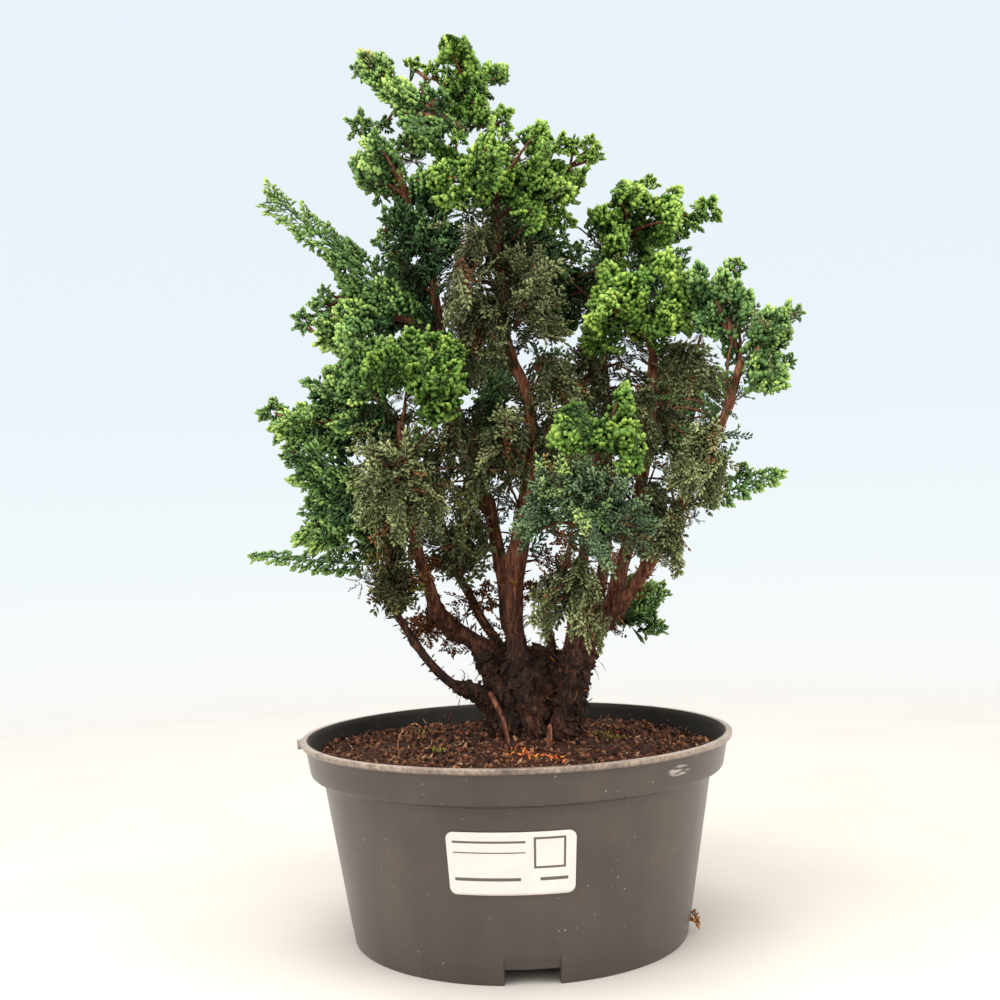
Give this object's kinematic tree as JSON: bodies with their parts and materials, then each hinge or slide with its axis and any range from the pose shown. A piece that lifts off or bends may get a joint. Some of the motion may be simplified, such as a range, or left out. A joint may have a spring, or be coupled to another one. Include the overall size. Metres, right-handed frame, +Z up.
{
  "type": "potted hinoki cypress bonsai",
  "caption": "Dwarf conifer bonsai: fans of green scale foliage on slim red-brown stems from a knobbly root crown, in a round tapered plastic pot with a rim band, soil and a bare paper label.",
  "frame": {"origin": "on the surface the pot stands on, under the middle of the pot", "axes": "+Z up along the pot's axis; the label on the pot looks along -Y; +X to the viewer's right"},
  "size_m": [0.2465, 0.191, 0.4015],
  "materials": {
    "pot_plastic": "weathered grey-black moulded plastic, dusty",
    "soil": "dark red-brown bark-fibre potting soil",
    "bark": "red-brown stringy bark, darker on the burl",
    "paper": "plain white adhesive label",
    "bright_foliage": "bright yellow-green scale leaves",
    "green_foliage": "mid green scale leaves",
    "olive_foliage": "shaded olive and blue-green scale leaves"
  },
  "bodies": {
    "root": {"bough_apex": "bright_foliage", "bough_back_high": "green_foliage", "bough_back_left": "green_foliage", "bough_back_low_left": "green_foliage", "bough_back_low_right": "green_foliage", "bough_back_middle": "green_foliage", "bough_back_outer": "green_foliage", "bough_back_right": "green_foliage", "bough_ball_left": "green_foliage", "bough_bright_ball": "bright_foliage", "bough_crown_front": "bright_foliage", "bough_crown_hanging": "olive_foliage", "bough_crown_left": "bright_foliage", "bough_crown_right": "bright_foliage", "bough_dark_left": "olive_foliage", "bough_front_blue": "olive_foliage", "bough_front_low": "olive_foliage", "bough_front_top": "bright_foliage", "bough_inner_1": "olive_foliage", "bough_inner_2": "olive_foliage", "bough_inner_3": "olive_foliage", "bough_inner_4": "olive_foliage", "bough_inner_5": "olive_foliage", "bough_inner_6": "olive_foliage", "bough_inner_7": "olive_foliage", "bough_inner_8": "olive_foliage", "bough_inner_left": "olive_foliage", "bough_left": "green_foliage", "bough_left_shoulder": "green_foliage", "bough_low_left": "green_foliage", "bough_low_right": "green_foliage", "bough_mid_1": "olive_foliage", "bough_mid_2": "olive_foliage", "bough_mid_3": "olive_foliage", "bough_olive_left": "olive_foliage", "bough_olive_low": "olive_foliage", "bough_outer_1": "olive_foliage", "bough_outer_2": "olive_foliage", "bough_outer_right": "green_foliage", "bough_outer_top": "green_foliage", "bough_right_crown": "bright_foliage", "bough_right_front": "bright_foliage", "bough_right_hanging": "olive_foliage", "bough_right_inner": "olive_foliage", "bough_right_low": "olive_foliage", "bough_right_shelf": "bright_foliage", "bough_tier_left": "green_foliage", "bough_top_left": "green_foliage", "bough_wide_left": "green_foliage", "frond_long_left": "green_foliage", "frond_low_left": "green_foliage", "frond_right": "green_foliage", "label": "paper", "pot": "pot_plastic", "soil": "soil", "trunk": "bark"}
  },
  "joints": []
}
